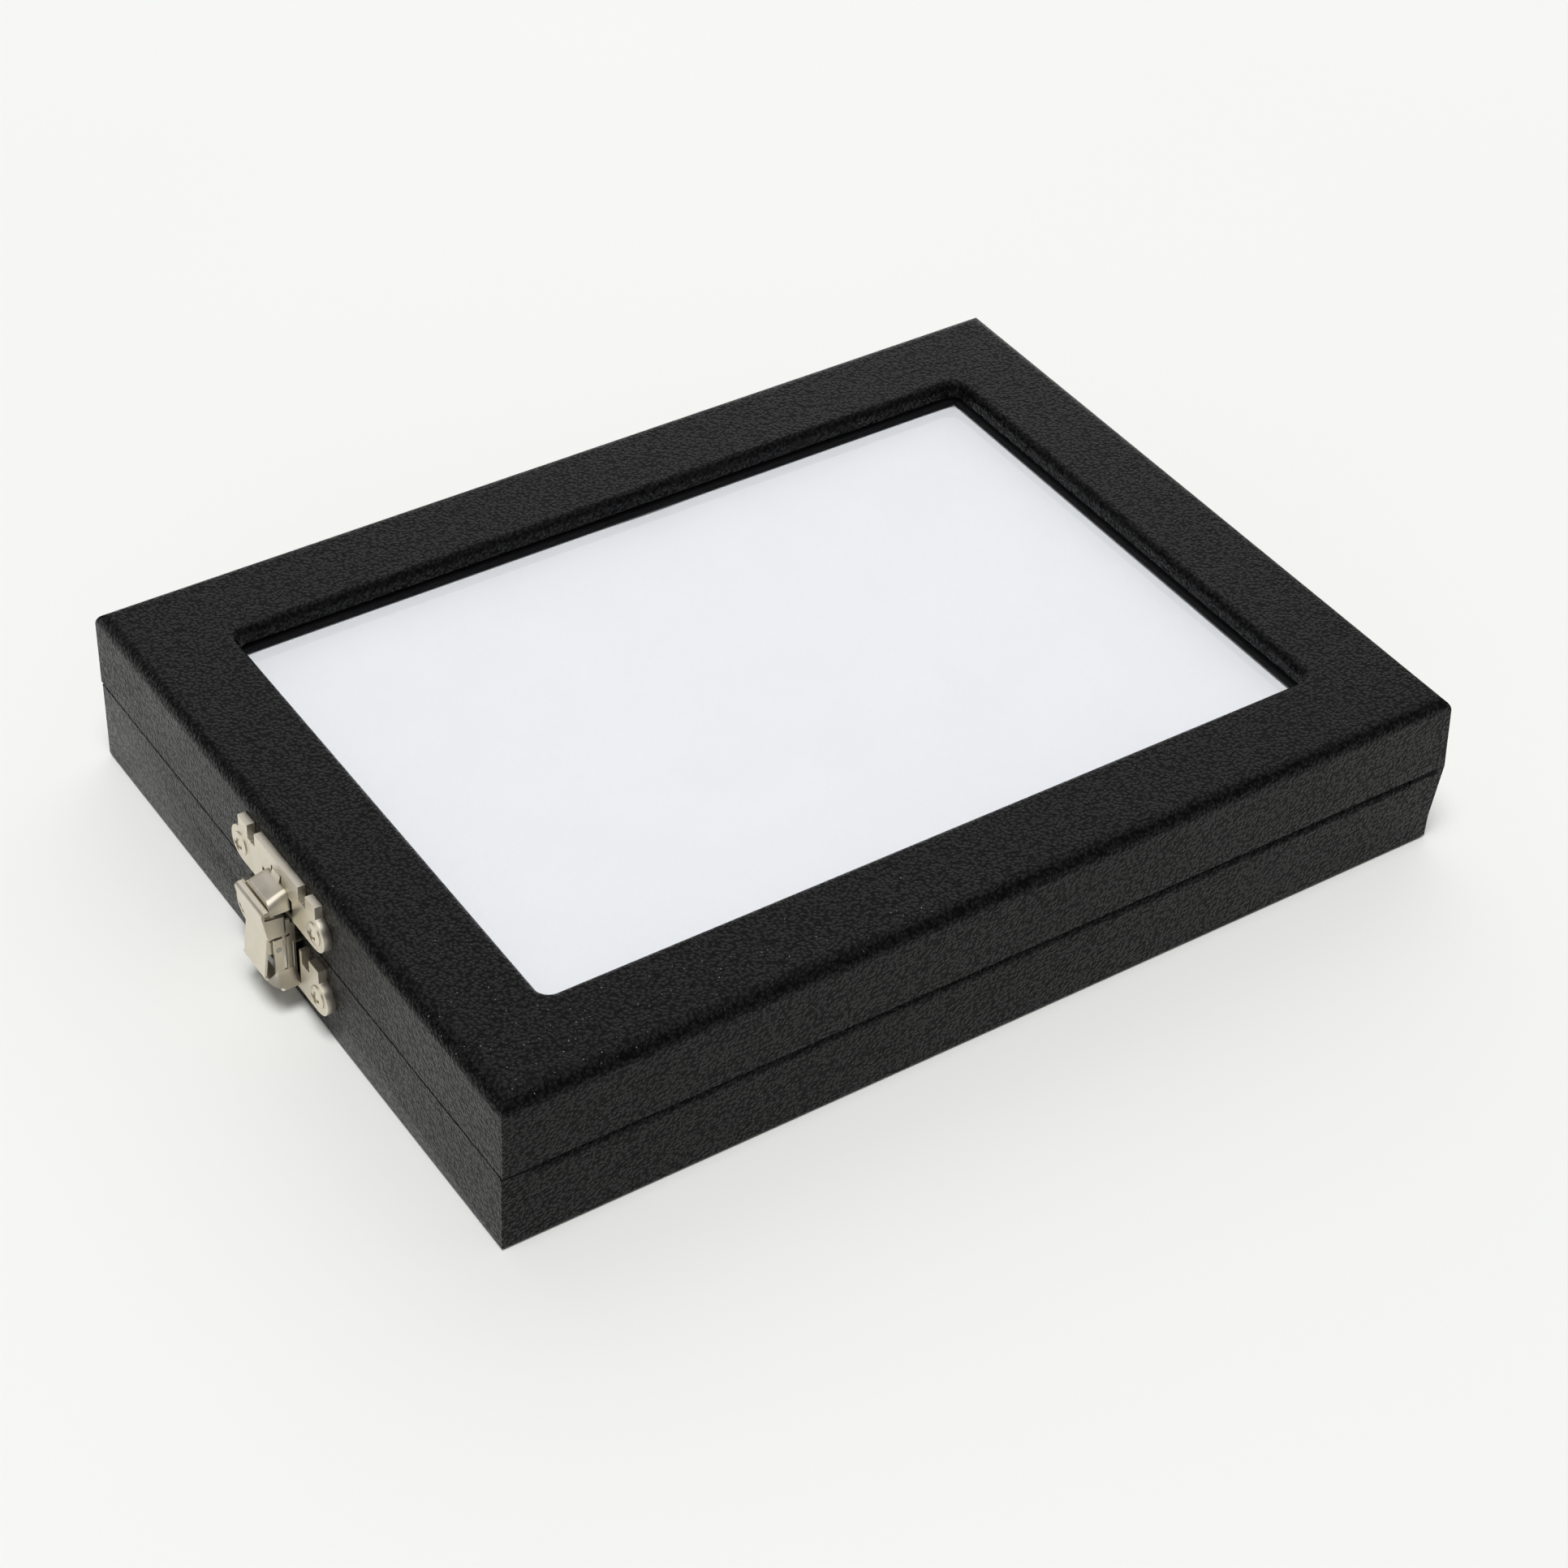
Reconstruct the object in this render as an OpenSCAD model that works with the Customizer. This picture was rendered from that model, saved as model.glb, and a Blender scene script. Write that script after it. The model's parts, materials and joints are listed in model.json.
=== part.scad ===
// Hinged display box with a glass window in the lid, a foam pad and a sprung front catch.
// Millimetres, +Z up. The origin is the centre of the underside.
// The catch is on the front (-Y) and the hinges are on the back (+Y).

/* [Box] */
// Width of the lid, along the front
box_w = 150; // [130:1:200]
// Length of the lid, from catch side to hinge side
box_l = 202; // [170:1:260]
// Height of the closed box
box_h = 34; // [33:0.5:44]
// Height of the base, up to its rim
base_h = 17; // [16.5:0.1:19]
// Gap between the base's rim and the lid
seam_gap = 0.4; // [0.3:0.05:0.6]
// How far the lid stands out over the base at the left and the right
lid_overhang = 0.5; // [0:0.1:1]
// Radius of the lid's outer top edges
top_edge_r = 3; // [1.5:0.1:3.2]
// Radius of the upper outer edges of the base's two long sides
rim_r = 2.4; // [1:0.1:3]

/* [Boards and covering] */
// Thickness of the wall boards
wall_t = 5.5; // [5:0.1:8]
// Thickness of the floor board
floor_t = 2.6; // [2:0.1:4]
// Thickness of the window board on top of the lid
top_t = 3; // [2.9:0.1:4]
// Thickness of the grained covering
wrap_t = 0.4; // [0.3:0.05:0.6]
// Thickness of the inner lining
lining_t = 0.4; // [0.3:0.05:0.8]
// Thickness of the sheet glued to the underside
sheet_t = 0.4; // [0.3:0.05:0.8]
// Width of the covering's turn-in under the base
turn_in = 12; // [8:0.5:20]
// Margin that the underside sheet leaves at the edges
sheet_margin = 2; // [1:0.5:6]

/* [Window] */
// Width of the border around the window
border = 19; // [15:0.5:28]
// Radius of the window's corners
window_r = 2.5; // [2:0.1:5]
// Radius of the window's upper edge
window_edge_r = 1.6; // [0.7:0.1:1.8]
// Thickness of the glass
glass_t = 2.6; // [1.5:0.1:3]
// How far the glass reaches under the border
glass_lap = 7; // [4:0.5:8]
// Gap around the edge of the glass
glass_play = 0.3; // [0.2:0.05:0.6]
// Thickness of the retainer strips under the glass
retainer_t = 1.2; // [0.6:0.1:1.4]
// Gap where two retainer strips meet
strip_gap = 0.2; // [0.1:0.05:0.5]

/* [Pad] */
// Gap between the pad and the lining
pad_play = 0.7; // [0.6:0.1:1.5]
// Gap between the pad's crown and the glass
pad_drop = 0.7; // [0.5:0.1:3]
// Rise of the pad's crown above its top edges
pad_crown = 1.2; // [0.6:0.1:2.5]
// Radius of the pad's top edges
pad_edge_r = 2.5; // [1:0.1:5]
// How far the pad's sides draw in between the corners
pad_draw = 0.8; // [0.2:0.1:2]

/* [Catch plates] */
// Thickness of the stamped sheet
sheet_metal_t = 0.5; // [0.4:0.05:0.6]
// How far the plates' faces stand off the box
plate_d = 1.6; // [1.4:0.1:1.8]
// Height of both plates
plate_h = 10; // [9.5:0.1:11]
// Height of the base plate's lower edge above the underside
catch_z = 5.2; // [5:0.1:5.6]
// Height of the strike plate's lower edge above the base's rim
strike_rise = 3.2; // [3.2:0.1:3.6]
// Distance between the two screws of a plate
plate_screw_gap = 27.4; // [26.6:0.1:28]
// Height of the screws above their plate's lower edge
plate_screw_z = 3.7; // [3.6:0.1:4]
// Diameter of the plate screws' heads
plate_head_d = 4.5; // [4:0.1:4.8]

/* [Catch lever] */
// Outer width of the lever and of its bracket
lever_w = 10; // [9.6:0.1:10.6]
// Height of the lever's pivot above the base plate's lower edge
pivot_rise = 9.2; // [9:0.1:9.4]
// Distance of the lever's pivot from the front of the box
pivot_d = 4.3; // [4.2:0.05:4.4]
// Radius of the lever's pin
pivot_r = 0.6; // [0.5:0.05:0.7]
// Running clearance of the lever on its pin
pivot_play = 0.06; // [0.03:0.01:0.1]
// Gap between moving and fixed sheet metal
catch_gap = 0.3; // [0.25:0.05:0.35]
// Width of the lever's thumb flap
flap_w = 7.8; // [6:0.1:8.2]
// Width of the tongue's head
tongue_w = 9; // [8.4:0.1:9.2]
// Width of the tongue's neck
neck_w = 2.8; // [2:0.1:4]

/* [Hinges] */
// Distance from an end of the lid to the middle of the hinge next to it
hinge_inset = 27; // [20:1:34]
// Length of a hinge
hinge_len = 26; // [22:1:34]
// Height of one leaf, from the pivot axis
leaf_h = 9; // [8.5:0.1:11]
// Thickness of a leaf
leaf_t = 0.8; // [0.6:0.05:1]
// Outer radius of a knuckle
knuckle_r = 1.7; // [1.6:0.05:1.9]
// Radius of the hinge pin
hinge_pin_r = 0.8; // [0.6:0.05:0.9]
// Running clearance of the lid's knuckle on the pin
hinge_play = 0.05; // [0.02:0.01:0.1]
// Gap between knuckles and between a knuckle and the box
knuckle_gap = 0.3; // [0.25:0.05:0.5]
// Distance between the two screws of a leaf
leaf_screw_gap = 16; // [13:0.5:18]

/* [Screws] */
// Diameter of the screws' shanks
screw_d = 2; // [1.6:0.1:2.2]
// Depth that the screws reach into the boards
screw_depth = 4.2; // [3:0.1:4.6]
// Clearance around the shanks
screw_play = 0.06; // [0.04:0.01:0.1]

/* [Hidden] */
$fn = 64;
over = 1;
fit_play = 0.01;

// Box levels
lid_z = base_h + seam_gap;
axis_z = base_h + seam_gap / 2;
top_z = box_h - wrap_t;
board_z = top_z - top_t;
glass_z = board_z - glass_t;
retainer_z = glass_z - retainer_t;
floor_z = sheet_t + wrap_t;
tray_z = floor_z + floor_t;
rim_z = base_h - wrap_t;
rail_z = lid_z + wrap_t;
front_y = -box_l / 2;
back_y = box_l / 2;

// Plan sizes
base_w = box_w - 2 * lid_overhang;
window_w = box_w - 2 * border;
window_l = box_l - 2 * border;
skin = wrap_t + wall_t;
lid_in_w = box_w - 2 * skin;
lid_in_l = box_l - 2 * skin;
base_in_w = base_w - 2 * skin;
base_in_l = box_l - 2 * skin;
retainer_w = border - skin;

// Catch levels; depths are measured outwards from the front of the box
strike_z = base_h + strike_rise;
pivot_z = catch_z + pivot_rise;
strip_top = pivot_z + 2.4;
cheek_z = strip_top + 2 * catch_gap;
cheek_top = cheek_z + 4.4;
cheek_out = lever_w / 2;
cheek_in = cheek_out - sheet_metal_t;
rear_strip_d = pivot_d - 1.5;
front_strip_d0 = pivot_d - 0.8;
front_strip_d1 = pivot_d + 0.9;
flap_d0 = front_strip_d1 + catch_gap + 0.05;
flap_lean = 0.9;
flap_z = catch_z + 3.2;
curl_r = 2;
wall_d0 = flap_d0 + 0.2;
wall_lean = 1.1;
lever_top = cheek_top + 2.2;
wall_top_d0 = wall_d0 + wall_lean;
hem_z = lever_top - 0.9;
hem_d = wall_top_d0 - 1.25;
head_low = cheek_top + 0.5;
head_top = lever_top + 0.5;
head_back = plate_d - 0.2;
head_d = hem_d - catch_gap;
head_r = 1.4;
neck_top = strike_z + plate_h - 2.8;
barb_d = hem_d + 0.25;

// Hinge levels
axis_y = back_y + knuckle_r + knuckle_gap;
hinge_gap = box_w - 2 * hinge_inset;
leaf_foot = knuckle_r + knuckle_gap;
leaf_screw_z = (leaf_foot + leaf_h) / 2;
mid_knuckle = hinge_len * 0.36;
leaf_head_d = 3.6;

// A block centred in X and Y, from z0 to z1
module block(w, l, z0, z1) {
  translate([-w / 2, -l / 2, z0]) cube([w, l, z1 - z0]);
}

// A profile with a flat foot and two round shoulders
module arch(w, h, r) {
  translate([-w / 2, 0]) square([w, h - r]);
  translate([-w / 2 + r, 0]) square([w - 2 * r, h]);
  for (s = [-1, 1]) translate([s * (w / 2 - r), h - r]) circle(r);
}

// Profile in X and Z, drawn along Y
module along_y(l) {
  rotate([90, 0, 0]) linear_extrude(l, center = true) children();
}

// Profile in Y and Z, drawn along X
module along_x(w) {
  rotate([90, 0, 90]) linear_extrude(w, center = true) children();
}

// Front outline in X and Z, from depth d0 to depth d1 in front of the box
module on_front(d0, d1) {
  translate([0, front_y - d0, 0]) rotate([90, 0, 0]) linear_extrude(d1 - d0) children();
}

// Side profile in depth and Z, centred on x
module side_profile(w, x = 0) {
  translate([x, front_y, 0]) mirror([0, 1, 0]) along_x(w) children();
}

// A round bar along X at a depth and a height
module cross_bar(r, w, d, z) {
  translate([0, front_y - d, z]) rotate([0, 90, 0]) cylinder(r = r, h = w, center = true);
}

// The lid's outer form, drawn in by inset, from z0 up
module lid_form(inset, z0) {
  h = box_h - inset - z0;
  r = top_edge_r - inset;
  translate([0, 0, z0]) intersection() {
    along_y(box_l) arch(box_w - 2 * inset, h, r);
    along_x(box_w) arch(box_l - 2 * inset, h, r);
  }
}

// Edge of the window's opening, half wide at its wall, with a round upper edge
function flared_edge(half, grow) =
  let (r = window_edge_r - grow, z = box_h - grow - r, steps = 10)
  concat(
    [[half, board_z - over]],
    [for (i = [0 : steps]) [half + r - r * cos(90 * i / steps), z + r * sin(90 * i / steps)]],
    [[half + r, box_h + over]]
  );

// Both edges of the opening, as one closed outline
function flared_opening(half, grow) =
  let (edge = flared_edge(half, grow), n = len(edge))
  concat(edge, [for (i = [1 : n]) [-edge[n - i][0], edge[n - i][1]]]);

// One edge and the axis of a round corner, as one closed outline
function flared_corner(half, grow) =
  let (edge = flared_edge(half, grow), n = len(edge))
  concat(edge, [[0, edge[n - 1][1]], [0, edge[0][1]]]);

// The window's hole, grown by grow
module window_hole(grow) {
  r = window_r + grow;
  half_w = window_w / 2 + grow;
  half_l = window_l / 2 + grow;
  along_y(2 * (half_l - r)) polygon(flared_opening(half_w, grow));
  along_x(2 * (half_w - r)) polygon(flared_opening(half_l, grow));
  for (i = [0 : 3]) {
    x = (i == 0 || i == 3) ? 1 : -1;
    y = (i < 2) ? 1 : -1;
    translate([x * (half_w - r), y * (half_l - r), 0]) rotate([0, 0, 90 * i])
      rotate_extrude(angle = 90) polygon(flared_corner(r, grow));
  }
}

// Places for the two screws of a catch plate
module at_plate_screws(z) {
  for (s = [-1, 1])
    translate([s * plate_screw_gap / 2, front_y, z + plate_screw_z]) rotate([90, 0, 0]) children();
}

// Places for the screws of both hinges; side is 1 on the lid and -1 on the base
module at_leaf_screws(side) {
  for (h = [-1, 1], s = [-1, 1])
    translate([h * hinge_gap / 2 + s * leaf_screw_gap / 2, back_y, axis_z + side * leaf_screw_z])
      rotate([-90, 0, 0]) children();
}

// Pilot hole through covering and board
module pilot() {
  translate([0, 0, -screw_depth - over / 2])
    cylinder(d = screw_d + 2 * screw_play, h = screw_depth + over);
}

module catch_pilots() {
  at_plate_screws(catch_z) pilot();
}

module strike_pilots() {
  at_plate_screws(strike_z) pilot();
}

// What the round upper edges take off the base's long sides, drawn in by inset
module rim_cut(inset, l) {
  r = rim_r - inset;
  for (s = [0, 180]) rotate([0, 0, s]) translate([base_w / 2 - inset - r, 0, base_h - inset - r])
    along_y(l) difference() {
      square(r + over);
      circle(r);
    }
}

module base_floor() {
  color("tan") block(base_in_w, base_in_l, floor_z, tray_z);
}

module base_front() {
  color("tan") difference() {
    translate([0, front_y + wrap_t + wall_t / 2, 0]) block(base_w - 2 * wrap_t, wall_t, floor_z, rim_z);
    catch_pilots();
  }
}

module base_back() {
  color("tan") difference() {
    translate([0, back_y - wrap_t - wall_t / 2, 0]) block(base_w - 2 * wrap_t, wall_t, floor_z, rim_z);
    at_leaf_screws(-1) pilot();
  }
}

module base_side(s) {
  difference() {
    translate([s * (base_w / 2 - wrap_t - wall_t / 2), 0, 0]) block(wall_t, base_in_l, floor_z, rim_z);
    rim_cut(wrap_t, base_in_l + over);
  }
}

module base_left() {
  color("tan") base_side(-1);
}

module base_right() {
  color("tan") base_side(1);
}

module base_wrap() {
  color([0.15, 0.15, 0.16]) difference() {
    block(base_w, box_l, sheet_t, base_h);
    difference() {
      block(base_w - 2 * wrap_t, box_l - 2 * wrap_t, floor_z, rim_z);
      rim_cut(wrap_t, base_in_l);
    }
    rim_cut(0, base_in_l - 2 * wrap_t);
    block(base_in_w, base_in_l, rim_z - over, base_h + over);
    block(base_w - 2 * turn_in, box_l - 2 * turn_in, sheet_t - over, floor_z + over);
    catch_pilots();
    at_leaf_screws(-1) pilot();
  }
}

module base_underside() {
  color([0.1, 0.1, 0.1]) block(base_w - 2 * sheet_margin, box_l - 2 * sheet_margin, 0, sheet_t);
}

module base_lining() {
  color([0.12, 0.12, 0.12]) difference() {
    block(base_in_w, base_in_l, tray_z, rim_z);
    block(base_in_w - 2 * lining_t, base_in_l - 2 * lining_t, tray_z + lining_t, rim_z + over);
  }
}

// Fall of the pad's top from its crown, at the share t of its half width
function pad_fall(t) = pad_crown * t * t + pad_edge_r * (1 - sqrt(1 - pow(abs(t), 16)));

// Pad profile with round shoulders and a crown
module pad_profile(w, h) {
  n = 12;
  polygon(concat(
    [[-w / 2, 0]],
    [for (i = [-n : n]) [w / 2 * sin(90 * i / n), h - pad_fall(sin(90 * i / n))]],
    [[w / 2, 0]]
  ));
}

// One side of the pad's outline, drawn in between its corners
function pad_edge(half, reach) =
  [for (t = [-1 : 0.125 : 0.99]) [reach * t, -half + pad_draw * (1 - t * t)]];

// Pad outline with all four sides drawn in
module pad_outline(w, l) {
  front = pad_edge(l / 2, w / 2);
  right = pad_edge(w / 2, l / 2);
  polygon(concat(
    front,
    [for (p = right) [-p[1], p[0]]],
    [for (p = front) [-p[0], -p[1]]],
    [for (p = right) [p[1], -p[0]]]
  ));
}

module foam_pad() {
  z0 = tray_z + lining_t;
  w = base_in_w - 2 * lining_t - 2 * pad_play;
  l = base_in_l - 2 * lining_t - 2 * pad_play;
  h = glass_z - pad_drop - z0;
  color("white") translate([0, 0, z0]) intersection() {
    linear_extrude(h) pad_outline(w, l);
    along_y(l) pad_profile(w, h);
    along_x(w) pad_profile(l, h);
  }
}

// Outline of a stamped plate with round ears and a notched top, drawn in by inset
module wing(inset) {
  ear_r = 3.6;
  middle = 8.1;
  bar_top = plate_h - 2.9;
  tab_in = 10.8;
  tab_out = 14.3;
  notch = [(middle + tab_in) / 2, bar_top - 0.4];
  difference() {
    union() {
      translate([-middle + inset, inset]) square([2 * (middle - inset), plate_h - 2 * inset]);
      translate([-plate_screw_gap / 2, inset]) square([plate_screw_gap, bar_top - 2 * inset]);
      for (s = [-1, 1]) {
        translate([s * plate_screw_gap / 2, plate_screw_z]) circle(ear_r - inset);
        translate([s * (tab_in + tab_out) / 2 - (tab_out - tab_in) / 2 + inset, plate_screw_z])
          square([tab_out - tab_in - 2 * inset, plate_h - plate_screw_z - inset]);
      }
    }
    for (s = [-1, 1]) polygon([
      [s * notch[0], notch[1] - 2 * inset],
      [s * (tab_in + inset), plate_h + over],
      [s * (middle - inset), plate_h + over]
    ]);
  }
}

// A plate drawn as a shallow dish whose rim meets the box
module dished_plate(z) {
  difference() {
    translate([0, 0, z]) on_front(0, plate_d) wing(0);
    translate([0, 0, z]) on_front(-over, plate_d - sheet_metal_t) wing(sheet_metal_t);
    at_plate_screws(z) cylinder(d = screw_d + 4 * screw_play, h = plate_d + over);
  }
}

// One cheek of the bracket: a rear strip, a slot and a front strip that carries the pin
module bracket_cheek() {
  foot = catch_z + 1.6;
  slot_z = foot + 1.2;
  rear_top = strike_z + 0.5;
  shoulder_d = plate_d + catch_gap + 0.1;
  shoulder_r = (rear_strip_d - plate_d + sheet_metal_t) / 2;
  shoulder_z = strike_z - catch_gap - 0.1;
  notch_h = cheek_z - strip_top;
  difference() {
    union() {
      translate([plate_d - sheet_metal_t, foot])
        square([front_strip_d1 - plate_d + sheet_metal_t, slot_z - foot]);
      translate([plate_d - sheet_metal_t, foot])
        square([rear_strip_d - plate_d + sheet_metal_t, shoulder_z - shoulder_r - foot]);
      translate([plate_d - sheet_metal_t + shoulder_r, foot])
        square([rear_strip_d - plate_d + sheet_metal_t - shoulder_r, shoulder_z - foot]);
      translate([plate_d - sheet_metal_t + shoulder_r, shoulder_z - shoulder_r]) circle(shoulder_r);
      translate([shoulder_d, foot]) square([rear_strip_d - shoulder_d, rear_top - foot]);
      translate([front_strip_d0, foot]) square([front_strip_d1 - front_strip_d0, strip_top - foot]);
    }
    translate([rear_strip_d - 0.7, strip_top]) square([over, notch_h]);
    translate([pivot_d, pivot_z]) circle(pivot_r + fit_play);
  }
}

// Flared foot of a cheek, bent out to the side with a round front corner
module bracket_lip(s) {
  foot = catch_z + 1.6;
  flare = 1.5;
  drop = 1.2;
  corner_r = 2.2;
  depth = front_strip_d1 - plate_d + sheet_metal_t;
  intersection() {
    translate([0, front_y - plate_d + sheet_metal_t - depth / 2, 0]) along_y(depth) polygon([
      [s * cheek_in, foot + 0.6],
      [s * cheek_out, foot + 0.9],
      [s * (cheek_out + flare), foot - drop + 0.4],
      [s * (cheek_out + flare - 0.3), foot - drop],
      [s * cheek_in, foot]
    ]);
    translate([s * cheek_in, front_y, 0]) linear_extrude(box_h) union() {
      translate([min(0, s * over * 4), -front_strip_d1 + corner_r]) square([over * 4, front_strip_d1]);
      translate([min(0, s * 0.4), -front_strip_d1]) square([0.4, front_strip_d1]);
      translate([s * 0.2, -front_strip_d1 + corner_r]) circle(corner_r);
    }
  }
}

module catch_plate() {
  window_in = cheek_out + 0.1;
  window_w = 2.2;
  color("silver") union() {
    difference() {
      dished_plate(catch_z);
      for (s = [-1, 1])
        translate([s * (window_in + window_w / 2), 0, catch_z + 1.7]) on_front(-over, plate_d + over)
          translate([-window_w / 2, 0]) square([window_w, plate_h]);
    }
    for (s = [-1, 1]) {
      side_profile(sheet_metal_t, s * (cheek_in + sheet_metal_t / 2)) bracket_cheek();
      bracket_lip(s);
    }
  }
}

module catch_pin() {
  color("silver") cross_bar(pivot_r, lever_w, pivot_d, pivot_z);
}

// Return spring, drawn as a sleeve with one leg to the plate and one towards the lever
module catch_spring() {
  coil_w = flap_w - 3.2;
  wire_w = 0.3;
  inner_r = pivot_r + 0.15;
  outer_r = inner_r + wire_w + 0.1;
  back_reach = pivot_d - plate_d;
  front_reach = 1.2;
  color("dimgray") difference() {
    union() {
      cross_bar(outer_r, coil_w, pivot_d, pivot_z);
      translate([coil_w / 2 - 2 * wire_w, front_y - pivot_d, pivot_z + inner_r + 0.05])
        cube([wire_w, back_reach, wire_w]);
      translate([-coil_w / 2 + wire_w, front_y - pivot_d - front_reach, pivot_z - inner_r - 0.05 - wire_w])
        cube([wire_w, front_reach, wire_w]);
    }
    cross_bar(inner_r, coil_w + over, pivot_d, pivot_z);
  }
}

// Round-headed screw with a cross recess, its head's seat at z = 0
module round_screw(seat) {
  rim_h = 0.25;
  dome_h = 0.5;
  head_h = rim_h + dome_h;
  r = plate_head_d / 2;
  dome_r = (r * r + dome_h * dome_h) / (2 * dome_h);
  slot_w = 0.8;
  slot_l = plate_head_d * 0.62;
  slot_h = 0.5;
  translate([0, 0, seat]) difference() {
    union() {
      intersection() {
        cylinder(r = r, h = head_h);
        translate([0, 0, head_h - dome_r]) sphere(dome_r);
      }
      translate([0, 0, -seat - screw_depth]) cylinder(d = screw_d, h = seat + screw_depth + head_h / 3);
    }
    translate([0, 0, head_h]) {
      cube([slot_l, slot_w, 2 * slot_h], center = true);
      cube([slot_w, slot_l, 2 * slot_h], center = true);
    }
  }
}

module catch_screws() {
  color("silver") at_plate_screws(catch_z) round_screw(plate_d);
}

module strike_screws() {
  color("silver") at_plate_screws(strike_z) round_screw(plate_d);
}

// Leaf outline from the knuckle outwards, with round far corners
module leaf_outline() {
  r = 2;
  translate([-hinge_len / 2, leaf_foot]) square([hinge_len, leaf_h - leaf_foot - r]);
  translate([-hinge_len / 2 + r, leaf_foot]) square([hinge_len - 2 * r, leaf_h - leaf_foot]);
  for (s = [-1, 1]) translate([s * (hinge_len / 2 - r), leaf_h - r]) circle(r);
}

// Countersunk screw hole or head, with its rim on the face of the leaf
module countersink(grow) {
  head_h = 0.7;
  translate([0, 0, leaf_t - head_h]) cylinder(d1 = screw_d, d2 = leaf_head_d + 2 * grow, h = head_h);
}

// Knuckles over the given spans along X, with the webs that join them to their leaf
module knuckles(spans, bore_r) {
  for (span = spans) difference() {
    translate([span[0], 0, 0]) union() {
      rotate([0, 90, 0]) cylinder(r = knuckle_r, h = span[1] - span[0]);
      translate([0, back_y - axis_y, 0]) cube([span[1] - span[0], leaf_t, leaf_foot + over]);
    }
    translate([span[0] - over, 0, 0]) rotate([0, 90, 0])
      cylinder(r = bore_r, h = span[1] - span[0] + 2 * over);
  }
}

// A leaf for the hinge on side h, lying upwards on the lid or downwards on the base
module leaf(h, up, spans, bore_r) {
  difference() {
    translate([h * hinge_gap / 2, axis_y, axis_z]) mirror([0, 0, up ? 0 : 1]) union() {
      translate([0, back_y - axis_y + leaf_t, 0]) rotate([90, 0, 0]) linear_extrude(leaf_t) leaf_outline();
      knuckles(spans, bore_r);
    }
    at_leaf_screws(up ? 1 : -1) {
      countersink(screw_play);
      cylinder(d = screw_d + 4 * screw_play, h = leaf_t + over);
    }
  }
}

outer_spans = [
  [-hinge_len / 2, -mid_knuckle / 2 - knuckle_gap],
  [mid_knuckle / 2 + knuckle_gap, hinge_len / 2]
];
inner_span = [[-mid_knuckle / 2, mid_knuckle / 2]];

module base_leaf_left() {
  color("silver") leaf(-1, false, outer_spans, hinge_pin_r + fit_play);
}

module base_leaf_right() {
  color("silver") leaf(1, false, outer_spans, hinge_pin_r + fit_play);
}

module lid_leaf_left() {
  color("silver") leaf(-1, true, inner_span, hinge_pin_r + hinge_play);
}

module lid_leaf_right() {
  color("silver") leaf(1, true, inner_span, hinge_pin_r + hinge_play);
}

module hinge_pins() {
  color("gray") for (h = [-1, 1])
    translate([h * hinge_gap / 2, axis_y, axis_z]) rotate([0, 90, 0])
      cylinder(r = hinge_pin_r, h = hinge_len, center = true);
}

// Flat-headed screw for a leaf
module flat_screw() {
  slot_w = 0.4;
  slot_l = leaf_head_d * 0.5;
  difference() {
    union() {
      countersink(0);
      translate([0, 0, -screw_depth]) cylinder(d = screw_d, h = screw_depth + leaf_t / 2);
    }
    translate([0, 0, leaf_t]) {
      cube([slot_l, slot_w, leaf_t], center = true);
      cube([slot_w, slot_l, leaf_t], center = true);
    }
  }
}

module base_hinge_screws() {
  color("silver") at_leaf_screws(-1) flat_screw();
}

module lid_hinge_screws() {
  color("silver") at_leaf_screws(1) flat_screw();
}

module lid_front() {
  color("tan") difference() {
    translate([0, front_y + wrap_t + wall_t / 2, 0]) block(box_w - 2 * wrap_t, wall_t, rail_z, board_z);
    strike_pilots();
  }
}

module lid_back() {
  color("tan") difference() {
    translate([0, back_y - wrap_t - wall_t / 2, 0]) block(box_w - 2 * wrap_t, wall_t, rail_z, board_z);
    at_leaf_screws(1) pilot();
  }
}

module lid_side(s) {
  translate([s * (box_w / 2 - wrap_t - wall_t / 2), 0, 0]) block(wall_t, lid_in_l, rail_z, board_z);
}

module lid_left() {
  color("tan") lid_side(-1);
}

module lid_right() {
  color("tan") lid_side(1);
}

module lid_top() {
  color("tan") difference() {
    intersection() {
      lid_form(wrap_t, rail_z);
      block(box_w, box_l, board_z, box_h);
    }
    window_hole(wrap_t);
  }
}

module lid_wrap() {
  color([0.15, 0.15, 0.16]) difference() {
    lid_form(0, lid_z);
    difference() {
      lid_form(wrap_t, rail_z);
      window_hole(wrap_t);
    }
    block(lid_in_w, lid_in_l, lid_z - over, board_z);
    window_hole(0);
    strike_pilots();
    at_leaf_screws(1) pilot();
  }
}

module glass_pane() {
  color([0.8, 0.9, 0.9, 0.3]) block(window_w + 2 * glass_lap, window_l + 2 * glass_lap, glass_z, board_z);
}

// Rebated strip that holds an edge of the glass up against the window board
module retainer_profile() {
  rebate = glass_lap + glass_play;
  polygon([
    [0, 0],
    [retainer_w, 0],
    [retainer_w, retainer_t + glass_t],
    [rebate, retainer_t + glass_t],
    [rebate, retainer_t],
    [0, retainer_t]
  ]);
}

module glass_retainers() {
  color([0.12, 0.12, 0.12]) translate([0, 0, retainer_z]) for (s = [0, 180]) rotate([0, 0, s]) {
    translate([window_w / 2, 0, 0]) along_y(window_l - 2 * strip_gap) retainer_profile();
    translate([0, window_l / 2, 0]) along_x(lid_in_w) retainer_profile();
  }
}

module lid_lining() {
  color([0.12, 0.12, 0.12]) difference() {
    block(lid_in_w, lid_in_l, rail_z, retainer_z);
    block(lid_in_w - 2 * lining_t, lid_in_l - 2 * lining_t, rail_z - over, retainer_z + over);
  }
}

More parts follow.
